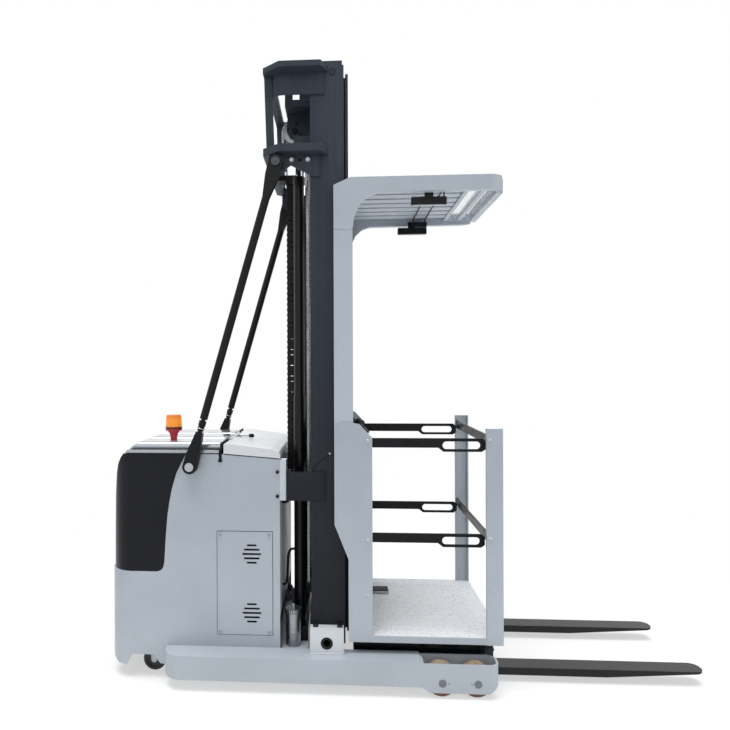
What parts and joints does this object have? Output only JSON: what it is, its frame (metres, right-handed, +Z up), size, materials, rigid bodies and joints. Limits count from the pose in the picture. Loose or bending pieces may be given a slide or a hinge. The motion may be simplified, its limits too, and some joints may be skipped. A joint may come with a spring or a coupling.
{
  "type": "order picker truck",
  "caption": "Electric order picker truck: power unit on straddle legs, two-stage mast, lifting operator platform with guard, side arms and forks.",
  "frame": {"origin": "on the floor, midway between the rear of the body and the fork tips, on the truck's centre plane", "axes": "+X along the forks, +Y towards the left side of an operator who looks along the forks, +Z up"},
  "size_m": [3, 0.983, 3.131],
  "materials": {
    "body_paint": "satin",
    "guard_paint": "satin",
    "cover_black": "gloss",
    "hood_silver": "gloss",
    "lid_paint": "satin",
    "mast_paint": "semi-gloss",
    "black_paint": "semi-gloss",
    "fork_paint": "gloss",
    "foot_paint": "satin",
    "deck_mat": "speckled anti-slip",
    "bright_steel": "zinc plated",
    "rod_chrome": "polished",
    "chain_steel": "oiled",
    "iron": "machined",
    "battery_case": "matte",
    "black_plastic": "matte",
    "hose_rubber": "matte",
    "wheel_tread": "worn polyurethane",
    "caster_tread": "matte",
    "red_plastic": "gloss",
    "amber_lens": "translucent",
    "clear_panel": "clear"
  },
  "bodies": {
    "chassis": {"base_frame": "body_paint", "wheel_axles": "bright_steel", "body_shell": "body_paint", "rear_cover": "cover_black", "hood": "hood_silver", "access_panels": "body_paint", "battery": "battery_case", "beacon_base": "red_plastic", "beacon_lens": "amber_lens", "mast_rails": "mast_paint", "mast_ties": "mast_paint", "mast_feet": "foot_paint", "mast_clamps": "mast_paint", "lift_cylinders": "mast_paint", "stay_rods": "black_paint", "stay_pins": "bright_steel", "hydraulic_pot": "bright_steel", "hoses": "hose_rubber", "cable_chain": "black_plastic"},
    "lid": {"battery_lid": "lid_paint"},
    "inner_mast": {"inner_rails": "mast_paint", "lift_head": "mast_paint", "lift_rods": "rod_chrome", "sheaves": "iron", "lift_chains": "chain_steel"},
    "cab": {"carriage": "mast_paint", "side_plates": "body_paint", "platform": "deck_mat", "forks": "fork_paint", "guard_posts": "guard_paint", "guard_roof": "guard_paint", "guard_window": "clear_panel", "front_posts": "body_paint", "front_rails": "black_paint", "work_lights": "black_plastic", "console": "black_plastic", "floor_pedal": "black_plastic"},
    "arm_right_upper": {"arm_right_upper": "black_paint"},
    "arm_right_lower": {"arm_right_lower": "black_paint"},
    "arm_left_upper": {"arm_left_upper": "black_paint"},
    "arm_left_lower": {"arm_left_lower": "black_paint"},
    "load_wheel_right_rear": {"load_wheel_right_rear": "wheel_tread"},
    "load_wheel_right_front": {"load_wheel_right_front": "wheel_tread"},
    "load_wheel_left_rear": {"load_wheel_left_rear": "wheel_tread"},
    "load_wheel_left_front": {"load_wheel_left_front": "wheel_tread"},
    "drive_unit": {"drive_unit": "iron"},
    "drive_wheel": {"drive_wheel": "wheel_tread"},
    "caster_fork_right": {"caster_fork_right": "bright_steel"},
    "caster_fork_left": {"caster_fork_left": "bright_steel"},
    "caster_wheel_right": {"caster_wheel_right": "caster_tread"},
    "caster_wheel_left": {"caster_wheel_left": "caster_tread"}
  },
  "joints": [
    {"name": "lid_hinge", "type": "hinge", "parent": "chassis", "child": "lid", "pos_m": [-0.899, 0, 1.198], "axis": [0, -1, 0], "range_deg": [0, 75]},
    {"name": "mast_lift", "type": "slide", "parent": "chassis", "child": "inner_mast", "axis": [0, 0, 1], "range_m": [0, 1.8]},
    {"name": "cab_lift", "type": "slide", "parent": "inner_mast", "child": "cab", "axis": [0, 0, 1], "range_m": [0, 1.8]},
    {"name": "arm_right_upper_pivot", "type": "hinge", "parent": "cab", "child": "arm_right_upper", "pos_m": [-0.165, -0.386, 1.212], "axis": [0, -1, 0], "range_deg": [0, 85]},
    {"name": "arm_right_lower_pivot", "type": "hinge", "parent": "cab", "child": "arm_right_lower", "pos_m": [-0.165, -0.365, 0.735], "axis": [0, -1, 0], "range_deg": [0, 85]},
    {"name": "arm_left_upper_pivot", "type": "hinge", "parent": "cab", "child": "arm_left_upper", "pos_m": [-0.165, 0.386, 1.212], "axis": [0, -1, 0], "range_deg": [0, 85]},
    {"name": "arm_left_lower_pivot", "type": "hinge", "parent": "cab", "child": "arm_left_lower", "pos_m": [-0.165, 0.365, 0.735], "axis": [0, -1, 0], "range_deg": [0, 85]},
    {"name": "load_wheel_right_rear_spin", "type": "hinge", "parent": "chassis", "child": "load_wheel_right_rear", "pos_m": [0.183, -0.431, 0.075], "axis": [0, 1, 0], "continuous": true},
    {"name": "load_wheel_right_front_spin", "type": "hinge", "parent": "chassis", "child": "load_wheel_right_front", "pos_m": [0.351, -0.431, 0.075], "axis": [0, 1, 0], "continuous": true},
    {"name": "load_wheel_left_rear_spin", "type": "hinge", "parent": "chassis", "child": "load_wheel_left_rear", "pos_m": [0.183, 0.431, 0.075], "axis": [0, 1, 0], "continuous": true},
    {"name": "load_wheel_left_front_spin", "type": "hinge", "parent": "chassis", "child": "load_wheel_left_front", "pos_m": [0.351, 0.431, 0.075], "axis": [0, 1, 0], "continuous": true},
    {"name": "drive_steer", "type": "hinge", "parent": "chassis", "child": "drive_unit", "pos_m": [-1.265, 0, 0.25], "axis": [0, 0, 1], "range_deg": [-90, 90]},
    {"name": "drive_spin", "type": "hinge", "parent": "drive_unit", "child": "drive_wheel", "pos_m": [-1.265, 0, 0.115], "axis": [0, 1, 0], "continuous": true},
    {"name": "caster_swivel_right", "type": "hinge", "parent": "chassis", "child": "caster_fork_right", "pos_m": [-1.247, -0.266, 0.2], "axis": [0, 0, 1], "continuous": true},
    {"name": "caster_spin_right", "type": "hinge", "parent": "caster_fork_right", "child": "caster_wheel_right", "pos_m": [-1.277, -0.266, 0.06], "axis": [0, 1, 0], "continuous": true},
    {"name": "caster_swivel_left", "type": "hinge", "parent": "chassis", "child": "caster_fork_left", "pos_m": [-1.247, 0.266, 0.2], "axis": [0, 0, 1], "continuous": true},
    {"name": "caster_spin_left", "type": "hinge", "parent": "caster_fork_left", "child": "caster_wheel_left", "pos_m": [-1.277, 0.266, 0.06], "axis": [0, 1, 0], "continuous": true}
  ],
  "couplings": [
    {"joint": "cab_lift", "follows": "mast_lift", "ratio": 1}
  ]
}
